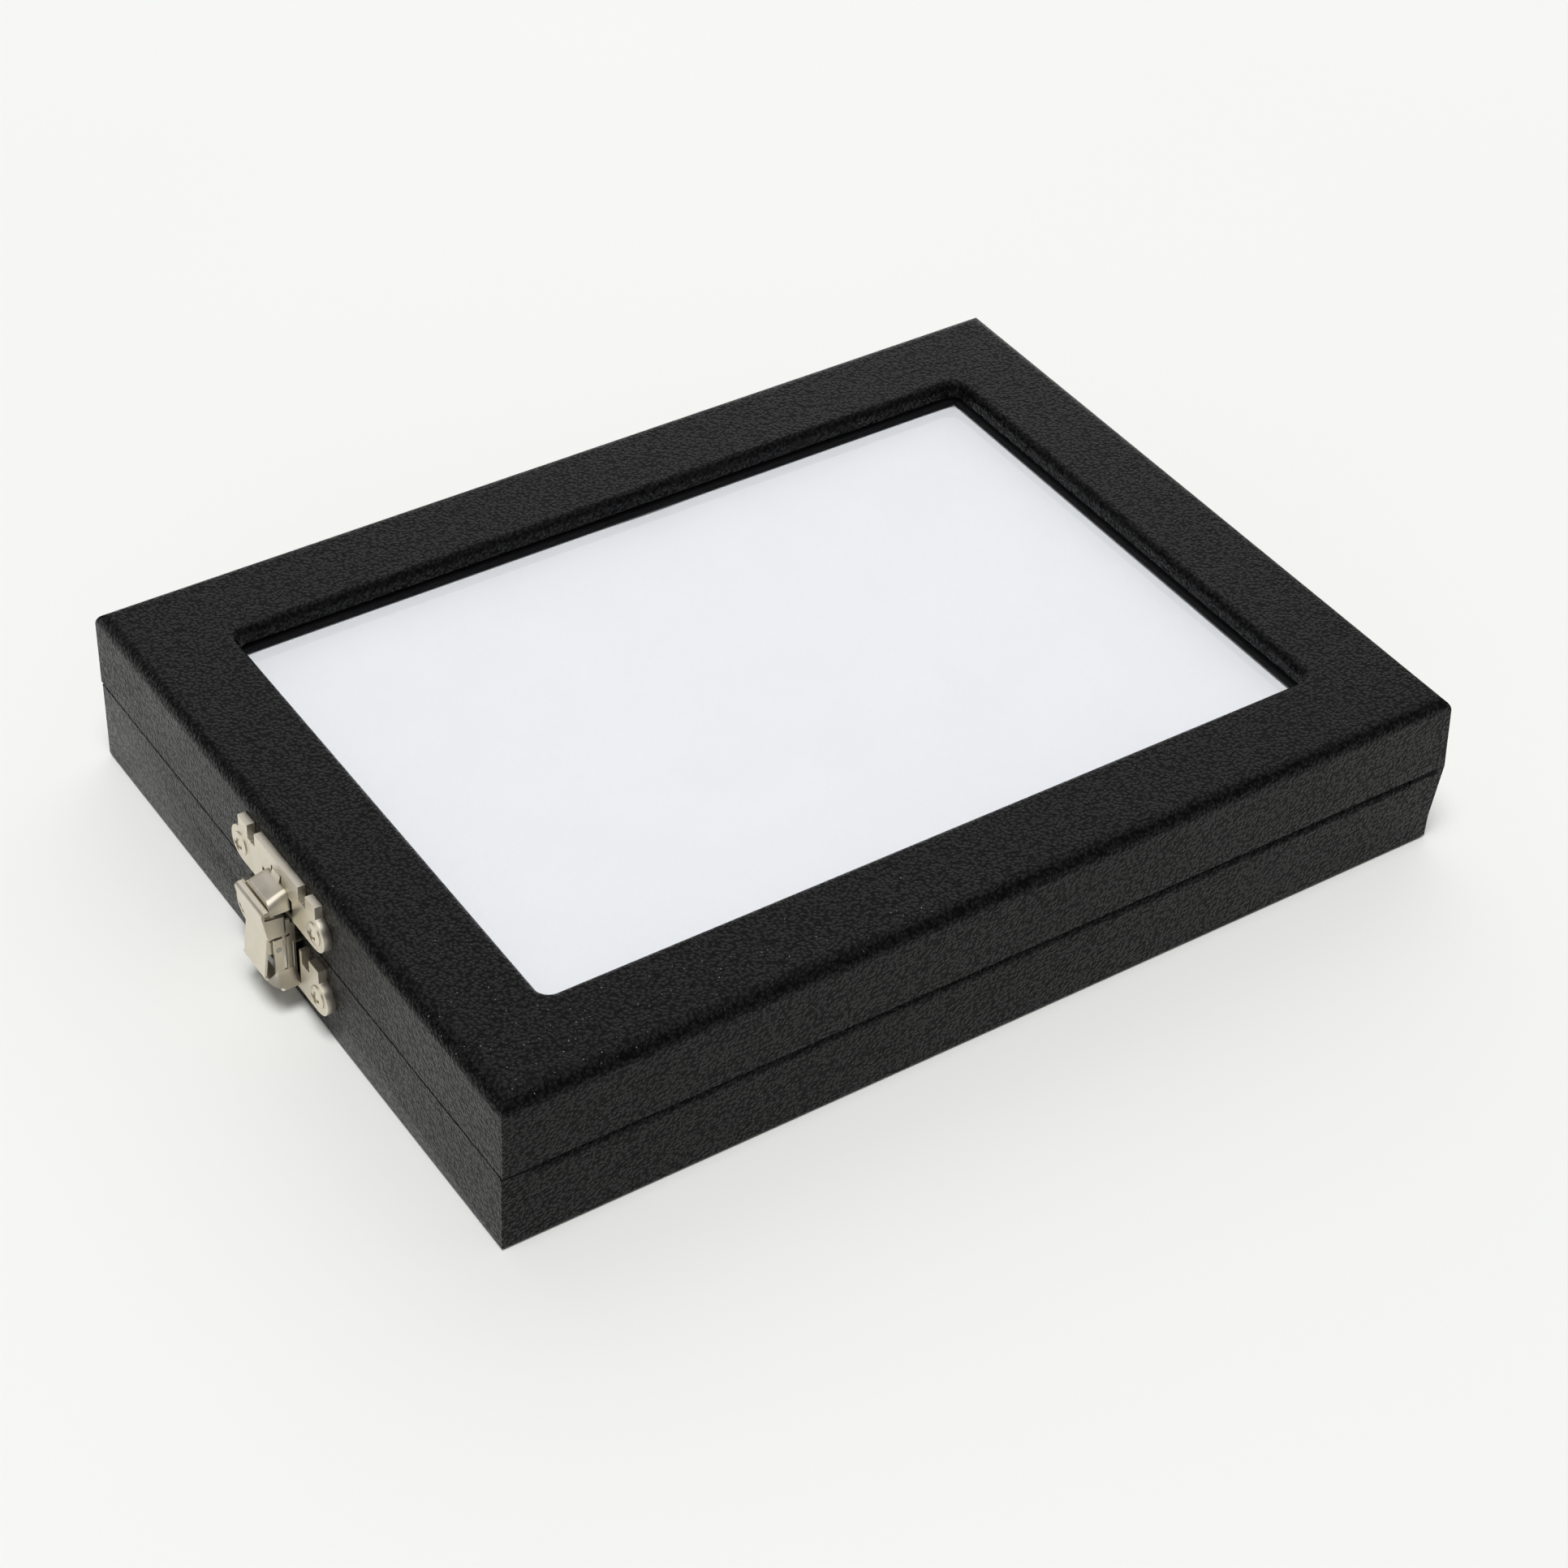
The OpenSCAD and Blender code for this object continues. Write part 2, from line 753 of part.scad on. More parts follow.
// Round-edged form of the tongue's cap; drawn in by inset it is the hollow under the cap
module tongue_form(inset) {
  drop = inset > 0 ? over : 0;
  d0 = head_back - drop;
  z0 = head_low - drop;
  w = tongue_w - 2 * inset;
  h = head_top - inset - z0;
  r = head_r - inset;
  depth = head_d - inset - d0;
  intersection() {
    translate([0, front_y - d0 - depth / 2, z0]) along_y(depth) intersection() {
      arch(w, h, r);
      translate([-w / 2, 0]) square([w, h]);
    }
    side_profile(w) translate([d0, z0]) intersection() {
      square([depth, h]);
      union() {
        square([depth, h - r]);
        square([depth - r, h]);
        translate([depth - r, h - r]) circle(r);
      }
    }
  }
}

// Tongue that hooks into the lever: a cap on a neck, with a barb along its front rim
module tongue() {
  difference() {
    tongue_form(0);
    tongue_form(sheet_metal_t);
  }
  side_profile(neck_w) polygon([
    [plate_d - sheet_metal_t, neck_top],
    [plate_d, neck_top],
    [head_back + 1.2, head_top],
    [head_back + 1.2, head_top - sheet_metal_t],
    [head_back + 0.2, head_top - sheet_metal_t],
    [plate_d - sheet_metal_t, neck_top - 1.2]
  ]);
  side_profile(tongue_w - 2 * head_r) polygon([
    [head_d - sheet_metal_t, head_low],
    [barb_d - 0.2, head_low],
    [barb_d, head_low + 0.2],
    [head_d - sheet_metal_t / 2, hem_z - catch_gap]
  ]);
}

module strike_plate() {
  hole_z = strike_z + 1.2;
  hole_top = head_top + catch_gap;
  hole_w = tongue_w + 2;
  relief = 0.5;
  neck_foot = neck_top - 0.6;
  color("silver") union() {
    difference() {
      dished_plate(strike_z);
      on_front(-over, plate_d + over) {
        translate([-hole_w / 2, hole_z]) square([hole_w, hole_top - hole_z]);
        translate([-neck_w / 2, hole_z]) square([neck_w, neck_foot - hole_z]);
        for (s = [-1, 1]) translate([s * (neck_w + relief) / 2 - relief / 2, hole_z])
          square([relief, neck_top + relief - hole_z]);
      }
    }
    tongue();
  }
}

// Side profile of the lever's front sheet above its step: hem and upper wall
module lever_wall_profile() {
  t = sheet_metal_t;
  bend_r = 0.8;
  steps = 6;
  bend = [for (i = [0 : steps]) [
    wall_top_d0 + t - bend_r + bend_r * cos(90 * i / steps),
    lever_top - bend_r + bend_r * sin(90 * i / steps)
  ]];
  polygon(concat(
    [[hem_d, hem_z], [wall_top_d0 - 0.05, hem_z], [wall_d0, cheek_z], [flap_d0, cheek_z - 0.6]],
    [[flap_d0 + t, cheek_z - 0.4], [wall_d0 + t, cheek_z - 0.1]],
    bend,
    [[hem_d + 0.3, lever_top], [hem_d, lever_top - 0.3]]
  ));
}

// Side profile of the thumb flap, with its lower edge curled in under the bracket
module lever_flap_profile() {
  t = sheet_metal_t;
  curl_d = flap_d0 + flap_lean + t - curl_r;
  steps = 8;
  outer = [for (i = [0 : steps]) [
    curl_d + curl_r * cos(90 * i / steps),
    flap_z - curl_r * sin(90 * i / steps)
  ]];
  inner = [for (i = [0 : steps]) [
    curl_d + (curl_r - t) * sin(90 * i / steps),
    flap_z - (curl_r - t) * cos(90 * i / steps)
  ]];
  polygon(concat(
    [[flap_d0, cheek_z - 0.6], [flap_d0, cheek_z - 0.3], [flap_d0 + t, cheek_z - 0.4]],
    outer,
    [[curl_d - 1.2, flap_z - curl_r], [curl_d - 1.2, flap_z - curl_r + t]],
    inner
  ));
}

module catch_lever() {
  ear_out = cheek_in - catch_gap;
  ear_x = min(ear_out, flap_w / 2) - sheet_metal_t / 2;
  ear_r = 1.5;
  color("silver") difference() {
    union() {
      side_profile(lever_w) intersection() {
        lever_wall_profile();
        translate([0, cheek_z - 0.1]) square([4 * plate_d + over, box_h]);
      }
      side_profile(flap_w) lever_wall_profile();
      side_profile(flap_w) lever_flap_profile();
      for (s = [-1, 1]) {
        side_profile(sheet_metal_t, s * (cheek_in + sheet_metal_t / 2)) polygon([
          [rear_strip_d + catch_gap, cheek_z],
          [wall_d0 + sheet_metal_t / 2, cheek_z],
          [wall_d0 + wall_lean * 0.8 + sheet_metal_t / 2, cheek_top + 0.3],
          [rear_strip_d + catch_gap, cheek_top - 0.3]
        ]);
        side_profile(sheet_metal_t, s * ear_x) union() {
          translate([pivot_d, pivot_z]) circle(ear_r);
          translate([pivot_d, pivot_z - ear_r]) square([flap_d0 + 0.35 - pivot_d, 2 * ear_r]);
        }
      }
    }
    cross_bar(pivot_r + pivot_play, lever_w - 2 * sheet_metal_t, pivot_d, pivot_z);
  }
}

base_floor();
base_front();
base_back();
base_left();
base_right();
base_wrap();
base_underside();
base_lining();
foam_pad();
catch_plate();
catch_pin();
catch_spring();
catch_screws();
base_leaf_left();
base_leaf_right();
hinge_pins();
base_hinge_screws();
lid_front();
lid_back();
lid_left();
lid_right();
lid_top();
lid_wrap();
glass_pane();
glass_retainers();
lid_lining();
strike_plate();
strike_screws();
lid_leaf_left();
lid_leaf_right();
lid_hinge_screws();
catch_lever();
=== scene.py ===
"""Looks of the glass-topped display box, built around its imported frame. Metres, +Z up."""

import json
import math

import bpy
import numpy as np
from mathutils import Matrix, Vector


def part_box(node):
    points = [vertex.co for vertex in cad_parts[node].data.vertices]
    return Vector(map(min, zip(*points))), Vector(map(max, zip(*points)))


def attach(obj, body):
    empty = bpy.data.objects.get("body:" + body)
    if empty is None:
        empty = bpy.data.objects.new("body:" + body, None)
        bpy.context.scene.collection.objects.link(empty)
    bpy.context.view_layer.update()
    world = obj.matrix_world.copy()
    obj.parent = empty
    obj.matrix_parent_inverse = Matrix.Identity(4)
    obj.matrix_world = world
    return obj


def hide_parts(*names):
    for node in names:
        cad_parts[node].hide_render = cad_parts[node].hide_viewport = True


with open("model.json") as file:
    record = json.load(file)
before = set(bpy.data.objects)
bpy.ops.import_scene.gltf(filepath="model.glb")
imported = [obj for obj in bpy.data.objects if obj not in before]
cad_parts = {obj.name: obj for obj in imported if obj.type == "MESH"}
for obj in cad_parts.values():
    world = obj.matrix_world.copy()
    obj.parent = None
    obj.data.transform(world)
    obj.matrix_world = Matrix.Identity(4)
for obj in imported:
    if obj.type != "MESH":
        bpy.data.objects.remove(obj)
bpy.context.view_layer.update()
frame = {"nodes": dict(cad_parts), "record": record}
nodes = frame["nodes"]
scene = bpy.context.scene

MM = 0.001
SIDES = {-1: "left", 1: "right"}
ENDS = {-1: "front", 1: "back"}


def put(name, data):
    """A new object in the scene."""
    obj = bpy.data.objects.new(name, data)
    scene.collection.objects.link(obj)
    return obj


# Materials

class Tree:
    """The shader nodes of a material or a world, with short ways to add to them."""

    def __init__(self, owner, shader="Principled BSDF", place="Object"):
        owner.use_nodes = True
        self.owner = owner
        self.nodes = owner.node_tree.nodes
        self.links = owner.node_tree.links
        self.shader = self.nodes[shader]
        self.place = self.add("ShaderNodeTexCoord").outputs[place]

    def add(self, kind, **values):
        node = self.nodes.new(kind)
        for key, value in values.items():
            setattr(node, key, value)
        return node

    def feed(self, socket, value):
        if isinstance(value, bpy.types.NodeSocket):
            self.links.new(value, socket)
        else:
            socket.default_value = value

    def feed_colour(self, socket, value):
        self.feed(socket, value if isinstance(value, bpy.types.NodeSocket) else (*value, 1.0))

    def stretch(self, scale):
        node = self.add("ShaderNodeMapping")
        self.feed(node.inputs["Vector"], self.place)
        node.inputs["Scale"].default_value = scale
        return node.outputs["Vector"]

    def noise_node(self, scale, detail=3.0, rough=0.5, warp=0.0, place=None):
        node = self.add("ShaderNodeTexNoise")
        self.feed(node.inputs["Vector"], place or self.place)
        node.inputs["Scale"].default_value = scale
        node.inputs["Detail"].default_value = detail
        node.inputs["Roughness"].default_value = rough
        node.inputs["Distortion"].default_value = warp
        return node

    def noise(self, scale, **values):
        return self.noise_node(scale, **values).outputs["Fac"]

    def cells(self, scale, smooth=None, place=None, space="3D"):
        feature = "F1" if smooth is None else "SMOOTH_F1"
        node = self.add("ShaderNodeTexVoronoi", feature=feature, voronoi_dimensions=space)
        self.feed(node.inputs["Vector"], place or self.place)
        node.inputs["Scale"].default_value = scale
        if smooth is not None:
            node.inputs["Smoothness"].default_value = smooth
        return node

    def math(self, kind, a, b):
        node = self.add("ShaderNodeMath", operation=kind)
        self.feed(node.inputs[0], a)
        self.feed(node.inputs[1], b)
        return node.outputs[0]

    def blend(self, a, a_share, b, b_share):
        return self.math("ADD", self.math("MULTIPLY", a, a_share), self.math("MULTIPLY", b, b_share))

    def fit(self, value, low, high, to_low=0.0, to_high=1.0):
        node = self.add("ShaderNodeMapRange", interpolation_type="SMOOTHSTEP")
        self.feed(node.inputs["Value"], value)
        node.inputs["From Min"].default_value = low
        node.inputs["From Max"].default_value = high
        node.inputs["To Min"].default_value = to_low
        node.inputs["To Max"].default_value = to_high
        return node.outputs["Result"]

    def ramp(self, value, stops):
        node = self.add("ShaderNodeValToRGB")
        self.feed(node.inputs["Fac"], value)
        points = node.color_ramp.elements
        while len(points) < len(stops):
            points.new(0.5)
        for point, (at, colour) in zip(points, stops):
            point.position = at
            point.color = (*colour, 1.0)
        return node.outputs["Color"]

    def mix(self, share, a, b):
        node = self.add("ShaderNodeMix", data_type="RGBA")
        factor, first, second = node.inputs[0], node.inputs[6], node.inputs[7]
        self.feed(factor, share)
        self.feed_colour(first, a)
        self.feed_colour(second, b)
        return node.outputs[2]

    def bump(self, height, distance, strength=1.0):
        node = self.add("ShaderNodeBump")
        node.inputs["Strength"].default_value = strength
        node.inputs["Distance"].default_value = distance
        self.feed(node.inputs["Height"], height)
        return node.outputs["Normal"]

    def set(self, **values):
        for key, value in values.items():
            self.feed(self.shader.inputs[key.replace("_", " ")], value)
        return self.owner


def material(name):
    return Tree(bpy.data.materials.new(name))


def pebbled_grain(t):
    """Height of the leatherette: pebbles off their grid, with a finer roughness on them."""
    pebbles, finer, wander = 1550.0, 3400.0, 620.0
    wander_reach = 0.8 * MM
    drift = t.add("ShaderNodeVectorMath", operation="MULTIPLY_ADD")
    t.feed(drift.inputs[0], t.noise_node(wander, detail=2.0).outputs["Color"])
    t.feed(drift.inputs[1], (wander_reach, wander_reach, wander_reach))
    t.feed(drift.inputs[2], t.place)
    pebble = t.cells(pebbles, smooth=0.45, place=drift.outputs[0]).outputs["Distance"]
    return t.blend(pebble, -0.8, t.noise(finer, rough=0.6), 0.45)


def dust_and_glints(t):
    """Pale specks on the lid's upper side, more of them towards the front right corner: partly dust,
    partly painted glints where the light catches the grain.
    """
    speck_grid, speck_core, speck_rim = 620.0, 0.02, 0.08
    far, near, slant = 60 * MM, 135 * MM, 0.55
    none, some = 1.0, 0.70
    below, above = 31.8 * MM, 33.0 * MM
    fleck = t.cells(speck_grid, space="2D")
    size = t.fit(fleck.outputs["Distance"], speck_core, speck_rim, 1.0, 0.0)
    place = t.add("ShaderNodeSeparateXYZ")
    t.feed(place.inputs[0], t.place)
    lot = t.add("ShaderNodeSeparateColor")
    t.feed(lot.inputs[0], fleck.outputs["Color"])
    corner = t.math("SUBTRACT", place.outputs["X"], t.math("MULTIPLY", place.outputs["Y"], slant))
    chosen = t.math("GREATER_THAN", lot.outputs[0], t.fit(corner, far, near, none, some))
    brightness = t.math("MULTIPLY", t.fit(place.outputs["Z"], below, above), lot.outputs[1])
    return t.math("MULTIPLY", t.math("MULTIPLY", size, chosen), brightness)


def leatherette():
    """Black leatherette: a fine pebbled grain that shines on its tops, with painted shade in its pits
    where the specular level drops, and pale specks that are partly dust and partly painted glints.
    """
    t = material("covering")
    grain = pebbled_grain(t)
    level = t.fit(grain, -0.42, 0.18)
    broad = t.noise(34.0, detail=2.0)
    pit, slope, crest = (0.0008, 0.0008, 0.0010), (0.0022, 0.0022, 0.0025), (0.0050, 0.0049, 0.0051)
    worn, speck = (0.0032, 0.0031, 0.0032), (0.42, 0.42, 0.43)
    colour = t.ramp(level, [(0.0, pit), (0.55, slope), (1.0, crest)])
    colour = t.mix(t.fit(broad, 0.35, 0.7, 0.0, 0.35), colour, worn)
    # Pale specks, partly dust and partly painted glints
    colour = t.mix(dust_and_glints(t), colour, speck)
    rough = t.math("ADD", t.fit(level, 0.0, 1.0, 0.30, 0.19), t.fit(broad, 0.3, 0.7, -0.03, 0.04))
    # Specular level lower in the grain's pits: painted shade of the hollows
    pit_shaded_shine = t.fit(level, 0.20, 0.46, 0.26, 0.56)
    normal = t.bump(grain, 0.21 * MM)
    return t.set(Base_Color=colour, Roughness=rough, Normal=normal, IOR=1.23, Specular_IOR_Level=pit_shaded_shine)


def nickel():
    """Nickel plate: warm and bright, with faint drawing marks and duller patches."""
    t = material("nickel")
    marks = t.noise(1.0, rough=0.6, place=t.stretch((900.0, 900.0, 5200.0)))
    patch = t.noise(260.0, detail=2.0, warp=0.3)
    dull, plain, bright = (0.69, 0.63, 0.51), (0.75, 0.695, 0.585), (0.80, 0.755, 0.66)
    colour = t.ramp(patch, [(0.25, dull), (0.5, plain), (0.8, bright)])
    rough = t.math("ADD", t.fit(patch, 0.3, 0.75, 0.34, 0.42), t.math("MULTIPLY", marks, 0.05))
    height = t.math("ADD", patch, t.math("MULTIPLY", marks, 0.15))
    normal = t.bump(height, 0.05 * MM, strength=0.35)
    return t.set(Base_Color=colour, Roughness=rough, Normal=normal, Metallic=1.0)


def steel():
    """Plain steel wire, drawn along its length."""
    t = material("steel")
    marks = t.noise(1.0, rough=0.6, place=t.stretch((300.0, 6000.0, 6000.0)))
    colour = t.ramp(marks, [(0.3, (0.34, 0.34, 0.34)), (0.7, (0.56, 0.56, 0.55))])
    rough = t.fit(marks, 0.3, 0.7, 0.24, 0.4)
    normal = t.bump(marks, 0.03 * MM, strength=0.5)
    return t.set(Base_Color=colour, Roughness=rough, Normal=normal, Metallic=1.0)


def foam():
    """White foam with a fine open cell."""
    t = material("foam")
    cell = t.cells(2300.0, smooth=0.3).outputs["Distance"]
    tone = t.noise(60.0)
    colour = t.ramp(tone, [(0.3, (0.778, 0.790, 0.824)), (0.7, (0.795, 0.807, 0.840))])
    pit = t.fit(cell, 0.1, 0.6)
    colour = t.mix(t.math("MULTIPLY", pit, 0.06), colour, (0.74, 0.76, 0.81))
    rough = t.fit(cell, 0.1, 0.6, 0.86, 0.96)
    normal = t.bump(cell, 0.1 * MM, strength=0.35)
    return t.set(Base_Color=colour, Roughness=rough, Normal=normal, Specular_IOR_Level=0.2)


def glass():
    """Clear float glass, with a trace of haze in its polish."""
    t = material("glass")
    rough = t.fit(t.noise(45.0, detail=2.0), 0.35, 0.75, 0.0, 0.012)
    tint = t.noise(30.0, detail=1.0)
    colour = t.ramp(tint, [(0.3, (0.985, 0.994, 0.992)), (0.7, (0.990, 0.997, 0.995))])
    return t.set(Base_Color=colour, Roughness=rough, IOR=1.5, Transmission_Weight=1.0)


def cloth(name, low, high, scale, rough, lift):
    """Matt black cloth or paper with a short irregular nap."""
    t = material(name)
    nap = t.noise(scale, detail=4.0, rough=0.65)
    broad = t.noise(scale / 40.0, detail=2.0)
    colour = t.ramp(t.blend(nap, 0.7, broad, 0.3), [(0.3, low), (0.7, high)])
    return t.set(Base_Color=colour, Roughness=t.fit(nap, 0.3, 0.7, rough, rough - 0.1),
                 Normal=t.bump(nap, lift, strength=0.6), Specular_IOR_Level=0.06)


def board(name, dark, middle, light):
    """Fibreboard with short fibres."""
    t = material(name)
    fibre = t.noise(1.0, detail=4.0, rough=0.6, warp=0.4, place=t.stretch((900.0, 260.0, 1400.0)))
    colour = t.ramp(fibre, [(0.25, dark), (0.55, middle), (0.8, light)])
    return t.set(Base_Color=colour, Roughness=t.fit(fibre, 0.3, 0.7, 0.75, 0.9),
                 Normal=t.bump(fibre, 0.1 * MM, strength=0.5))


finishes = {
    "covering": leatherette(),
    "nickel": nickel(),
    "steel": steel(),
    "foam": foam(),
    "glass": glass(),
    "lining": cloth("lining", low=(0.004, 0.004, 0.0045), high=(0.013, 0.013, 0.014),
                    scale=1500.0, rough=0.95, lift=0.2 * MM),
    "retainer": cloth("retainer", low=(0.004, 0.004, 0.0045), high=(0.011, 0.011, 0.012),
                      scale=2200.0, rough=0.8, lift=0.1 * MM),
    "backing": cloth("backing", low=(0.006, 0.006, 0.0065), high=(0.016, 0.016, 0.0165),
                     scale=900.0, rough=0.9, lift=0.2 * MM),
    "board": board("board", dark=(0.36, 0.25, 0.16), middle=(0.50, 0.37, 0.25),
                   light=(0.60, 0.47, 0.33)),
    "stained": board("stained", dark=(0.006, 0.006, 0.006), middle=(0.010, 0.010, 0.010),
                     light=(0.016, 0.015, 0.015)),
}
slot_of = {part["node"]: part["material_slot"] for part in frame["record"]["subparts"]}
for name, obj in nodes.items():
    obj.data.materials.clear()
    obj.data.materials.append(finishes[slot_of[name]])

# Light falls through the glass onto the pad
nodes["glass_pane"].visible_shadow = False
nodes["glass_pane"].visible_diffuse = False


# Softened edges

def soften(names, width, segments, angle):
    """Rounds the edges sharper than the angle, after flat faces are made whole again."""
    for name in names:
        weld = nodes[name].modifiers.new("weld", "WELD")
        weld.merge_threshold = 0.002 * MM
        flat = nodes[name].modifiers.new("flat", "DECIMATE")
        flat.decimate_type = "DISSOLVE"
        flat.angle_limit = math.radians(0.2)
        bevel = nodes[name].modifiers.new("edges", "BEVEL")
        bevel.width = width
        bevel.segments = segments
        bevel.limit_method = "ANGLE"
        bevel.angle_limit = math.radians(angle)


wraps = ("base_wrap", "lid_wrap")
catch = ("catch_plate", "strike_plate", "catch_lever")
leaves = ("base_leaf_left", "base_leaf_right", "lid_leaf_left", "lid_leaf_right")
soften(wraps, width=0.35 * MM, segments=3, angle=40)
soften(catch, width=0.14 * MM, segments=2, angle=32)
soften(leaves, width=0.16 * MM, segments=2, angle=40)


# Pad

def keep(obj, body, slot):
    """Gives a piece the finish of its slot, and its body."""
    obj.data.materials.clear()
    obj.data.materials.append(finishes[slot])
    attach(obj, body)
    return obj


def positions(mesh):
    co = np.zeros(len(mesh.vertices) * 3)
    mesh.vertices.foreach_get("co", co)
    return co.reshape(-1, 3)


def apply(obj, modifier):
    bpy.ops.object.select_all(action="DESELECT")
    obj.select_set(True)
    bpy.context.view_layer.objects.active = obj
    bpy.ops.object.modifier_apply(modifier=modifier.name)


def cut_foam(low, high):
    """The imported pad, a little smaller and standing on the same spot, with an even mesh."""
    mesh = nodes["foam_pad"].data.copy()
    mesh.name = "pad"
    obj = put("pad", mesh)
    foot = Vector(((low.x + high.x) / 2, (low.y + high.y) / 2, low.z))
    shrink = Matrix.Diagonal((0.995, 0.996, 0.985, 1.0))
    mesh.transform(Matrix.Translation(foot) @ shrink @ Matrix.Translation(-foot))
    remesh = obj.modifiers.new("remesh", "REMESH")
    remesh.mode = "VOXEL"
    remesh.voxel_size = 4.0 * MM
    apply(obj, remesh)
    return obj


def swell(obj, start):
    """Where the pad's points lie once pressure has filled it."""
    last_frame, most = 20, 0.5 * MM
    sim = obj.modifiers.new("fill", "CLOTH")
    sim.settings.use_pressure = True
    sim.settings.uniform_pressure_force = 4.0
    sim.settings.effector_weights.gravity = 0.0
    sim.settings.quality = 6
    sim.settings.tension_stiffness = 40.0
    sim.settings.compression_stiffness = 40.0
    sim.settings.bending_stiffness = 8.0
    sim.point_cache.frame_start, sim.point_cache.frame_end = 1, last_frame
    for number in range(1, last_frame + 1):
        scene.frame_set(number)
    apply(obj, sim)
    scene.frame_set(1)
    moved = positions(obj.data) - start
    reach = np.linalg.norm(moved, axis=1, keepdims=True)
    return start + moved * np.minimum(1.0, most / np.maximum(reach, 1e-9))


def foam_block():
    """The pad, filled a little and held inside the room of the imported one."""
    low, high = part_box("foam_pad")
    obj = cut_foam(low, high)
    start = positions(obj.data)
    end = swell(obj, start)
    end = np.clip(end, np.array(low), np.array(high))
    obj.data.vertices.foreach_set("co", end.ravel())
    obj.data.update()
    fine = obj.modifiers.new("fine", "SUBSURF")
    fine.levels = fine.render_levels = 1
    apply(obj, fine)
    for face in obj.data.polygons:
        face.use_smooth = True
    keep(obj, "base", "foam")
    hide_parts("foam_pad")


foam_block()


# Sheet pieces, in millimetres

def box_mm(name):
    """Low and high corner of a node."""
    return [np.array(corner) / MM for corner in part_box(name)]


def share_of(value, low, high):
    """How far a value is on its way from low to high, from 0 to 1."""
    return min(max((value - low) / (high - low), 0.0), 1.0)


def between(start, end, share):
    return start + (end - start) * share


def skin(name, surface, across, along, thick, body, slot):
    """A thin closed sheet behind the surface of (u, v), both from 0 to 1."""
    points = [Vector(surface(i / across, j / along)) * MM
              for j in range(along + 1) for i in range(across + 1)]
    step = across + 1
    faces = [(corner, corner + step, corner + step + 1, corner + 1)
             for row in range(0, along * step, step) for corner in range(row, row + across)]
    mesh = bpy.data.meshes.new(name)
    mesh.from_pydata(points, [], faces)
    obj = put(name, mesh)
    shell = obj.modifiers.new("sheet", "SOLIDIFY")
    shell.thickness = thick * MM
    shell.offset = -1.0
    apply(obj, shell)
    mesh.shade_smooth()
    mesh.set_sharp_from_angle(angle=math.radians(40.0))
    return keep(obj, body, slot)


def tongue_hood():
    """Rounded hood over the tongue's cap, falling from the strike plate to the lever."""
    face = box_mm("lid_wrap")[0][1]
    half, end_r = 4.75, 1.9
    back, front = 1.62, 5.5
    rim, crown, lip = 22.4, 26.0, 24.85
    bend_r, drop, sag = 0.4, 1.0, 1.3
    slope_end, bend_end = 0.75, 0.9

    def surface(u, v):
        x = half * (2.0 * u - 1.0)
        run_out = share_of(v, 0.0, slope_end)
        turn = math.pi / 2 * share_of(v, slope_end, bend_end)
        depth = between(back, front - bend_r, run_out) + bend_r * math.sin(turn)
        z = between(crown, lip, run_out ** sag) - bend_r * (1.0 - math.cos(turn))
        z -= drop * share_of(v, bend_end, 1.0)
        rounding = share_of(abs(x), half - end_r, half)
        return x, face - depth, between(rim, z, math.sqrt(1.0 - rounding ** 2))

    skin("tongue_hood", surface, across=48, along=40, thick=0.3, body="lid", slot="nickel")


def bracket_foot(side):
    """Flared foot of one cheek of the catch's bracket, with a round front corner."""
    face = box_mm("base_wrap")[0][1]
    root, corner, flare = 1.7, 4.4, 1.3
    top_x, top_side, top_front, top_z = 4.9, 0.15, 0.75, 9.3
    edge_x, edge_side, edge_front, edge_z, edge_rise = 4.3, 2.1, 2.3, 6.4, 1.2

    def surface(u, v):
        u = 1.0 - u if side > 0 else u
        turn = math.pi / 2 * share_of(u, 0.5, 1.0)
        aside, ahead = math.cos(turn), math.sin(turn)
        straight = between(root, corner, share_of(u, 0.0, 0.5))
        spread = v ** flare
        x = between(top_x + top_side * aside, edge_x + edge_side * aside, spread)
        depth = straight + between(top_front, edge_front, spread) * ahead
        return side * x, face - depth, between(top_z, edge_z + edge_rise * ahead ** 2, v)

    skin(f"bracket_foot_{SIDES[side]}", surface, across=24, along=10, thick=0.4,
         body="base", slot="nickel")


def corner_fold(body, side, rim, end, proud):
    """Swell of the covering at a back corner, where its folds lie over each other: most at the rim.

    It stays between the rim and its end in height, and inside the edge at the side.
    """
    low, high = box_mm(f"{body}_wrap")
    reach, sunk, backing, curve = 15.0, 0.05, 0.6, 1.5
    back, edge = -low[1], high[0] + 0.02
    flip = (side < 0) == (end > rim)

    def surface(u, v):
        share = 1.0 - u if flip else u
        out = proud * share ** curve * (1.0 - v) - sunk
        return side * (edge - reach * (1.0 - share)), back + out, between(rim, end, v)

    fold = skin(f"{body}_fold_{SIDES[side]}_back", surface, across=16, along=16,
                thick=proud + backing, body=body, slot="covering")
    lowest, highest = sorted((rim * MM, end * MM))
    for vertex in fold.data.vertices:
        vertex.co.x = side * min(side * vertex.co.x, edge * MM)
        vertex.co.z = min(max(vertex.co.z, lowest), highest)


def rim_shadow_strip(side, end):
    """Dark strip of lining cloth under the lid between the base's round rim and the corner: a painted
    shadow standing in for the shade under the lid's edge, where the rim's rounding stops short of the
    corner.
    """
    low, high = box_mm("base_wrap")
    start, last, proud = 94.6, -low[1], 0.05
    inner, outer = (1.2, 1.4) if end > 0 else (1.0, 0.5)
    flip = side != end

    def surface(u, v):
        share = 1.0 - u if flip else u
        height = between(inner, outer, share)
        return side * (high[0] + proud), end * between(start, last, share), high[2] - height * v

    skin(f"rim_shadow_strip_{SIDES[side]}_{ENDS[end]}", surface, across=6, along=3, thick=0.3,
         body="base", slot="lining")


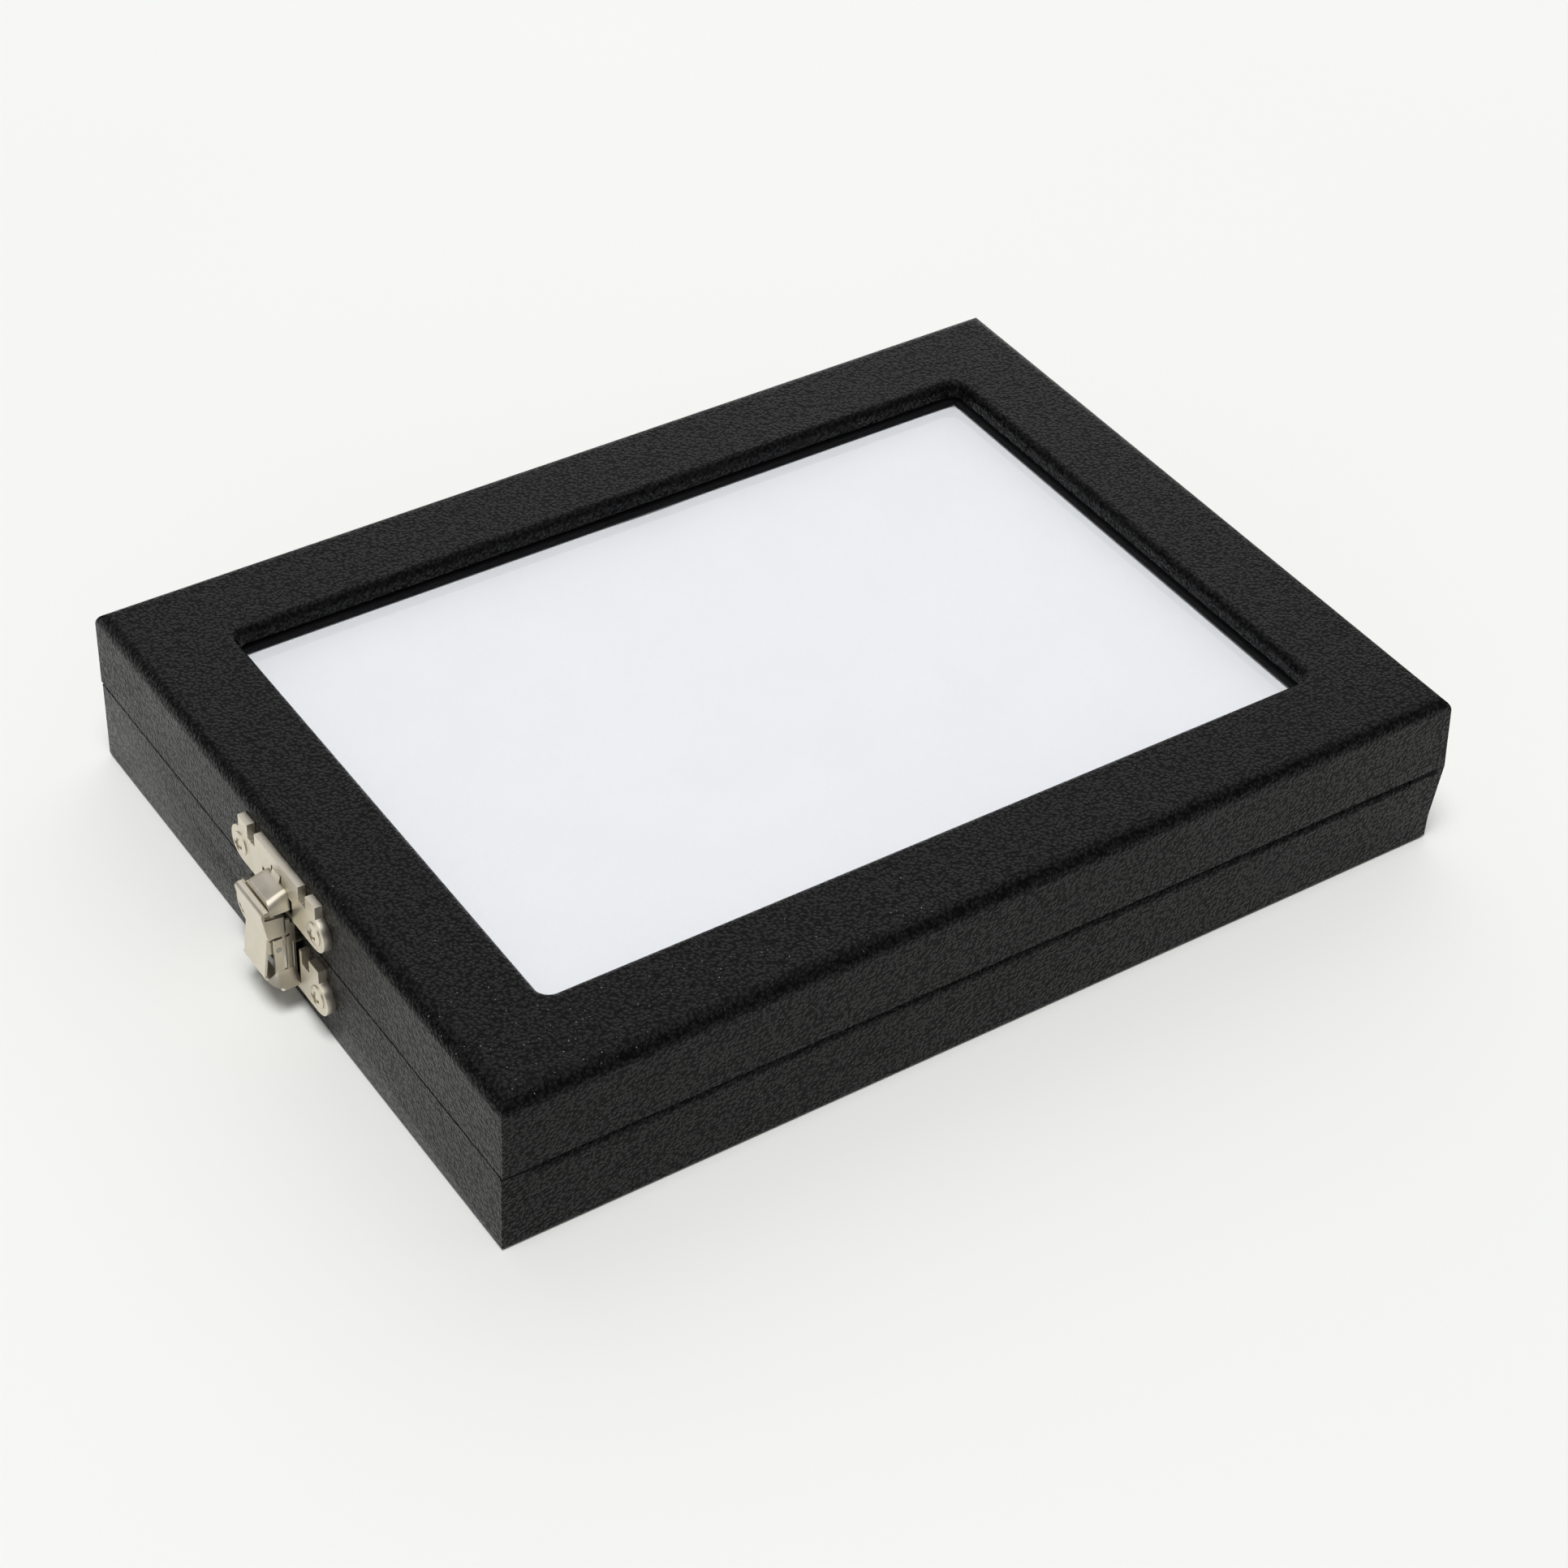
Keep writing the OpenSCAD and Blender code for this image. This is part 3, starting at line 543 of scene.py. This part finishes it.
tongue_hood()
for side in SIDES:
    bracket_foot(side)
    corner_fold("lid", side, rim=17.42, end=31.0, proud=1.2)
    corner_fold("base", side, rim=16.98, end=5.0, proud=1.8)
    # Dark lining strips at each end of the rim: painted shadow under the lid
    for end in ENDS:
        rim_shadow_strip(side, end)


# Camera, floor and light

def photo_camera():
    """The photo's camera, fitted to the corners of the box."""
    lens = bpy.data.cameras.new("camera")
    lens.sensor_width = 36.0
    lens.lens = 82.7125
    lens.clip_start, lens.clip_end = 0.01, 50.0
    right = Vector((0.551438, 0.833300, 0.039092))
    down = Vector((0.557399, -0.333185, -0.760456))
    ahead = Vector((-0.620663, 0.441134, -0.648211))
    place = Vector((0.427193, -0.299390, 0.446958))
    turn = Matrix((right, -down, -ahead)).transposed().to_4x4()
    camera = put("camera", lens)
    camera.matrix_world = Matrix.Translation(place) @ turn
    scene.camera = camera


def paper_floor():
    """A wide sheet of white paper just under the box."""
    half = 6.0
    corners = [(-half, -half, 0), (half, -half, 0), (half, half, 0), (-half, half, 0)]
    mesh = bpy.data.meshes.new("floor")
    mesh.from_pydata(corners, [], [(0, 1, 2, 3)])
    floor = put("floor", mesh)
    floor.location.z = -0.2 * MM
    t = material("floor")
    tone = t.noise(3.0, detail=2.0)
    paper = t.ramp(tone, [(0.3, (0.858, 0.866, 0.837)), (0.7, (0.876, 0.883, 0.856))])
    mesh.materials.append(t.set(Base_Color=paper, Roughness=0.95, Specular_IOR_Level=0.1))


def sun(name, towards, strength, spread):
    lamp = bpy.data.lights.new(name, "SUN")
    lamp.energy = strength
    lamp.angle = math.radians(spread)
    obj = put(name, lamp)
    obj.rotation_mode = "QUATERNION"
    obj.rotation_quaternion = Vector(towards).to_track_quat("Z", "Y")
    return obj


def studio():
    """White room: bright low down, dim overhead, and a glow behind the box that its top reflects."""
    world = bpy.data.worlds.new("studio")
    scene.world = world
    t = Tree(world, shader="Background", place="Generated")
    direction = t.add("ShaderNodeSeparateXYZ")
    t.feed(direction.inputs[0], t.place)
    heights = [(0.03, 0.90), (0.34, 0.46), (0.62, 0.34), (1.0, 0.26)]
    cool = 1.01
    stops = [(at, (light, light, light * cool)) for at, light in heights]
    glow_centre, glow_edge = (-0.62, 0.44, 0.65), 0.72
    room_light, glow_light = 0.55, 2.75
    towards = t.add("ShaderNodeVectorMath", operation="DOT_PRODUCT")
    t.feed(towards.inputs[0], t.place)
    t.feed(towards.inputs[1], glow_centre)
    t.set(Color=t.ramp(direction.outputs["Z"], stops),
          Strength=t.fit(towards.outputs["Value"], glow_edge, 1.0, room_light, glow_light))
    backdrop(t)


def backdrop(t):
    """The camera sees plain white beyond the floor."""
    white = t.add("ShaderNodeBackground")
    t.feed_colour(white.inputs["Color"], (0.905, 0.912, 0.890))
    choice = t.add("ShaderNodeMixShader")
    t.feed(choice.inputs[0], t.add("ShaderNodeLightPath").outputs["Is Camera Ray"])
    t.feed(choice.inputs[1], t.shader.outputs[0])
    t.feed(choice.inputs[2], white.outputs[0])
    t.feed(t.nodes["World Output"].inputs["Surface"], choice.outputs[0])


photo_camera()
paper_floor()
key = sun("key", towards=(0.16, -0.18, 0.97), strength=2.42, spread=26.0)
key.visible_glossy = False
sheen = sun("sheen", towards=(0.10, -0.20, 0.97), strength=1.3, spread=64.0)
sheen.visible_diffuse = False
studio()
scene.view_settings.view_transform = "Standard"
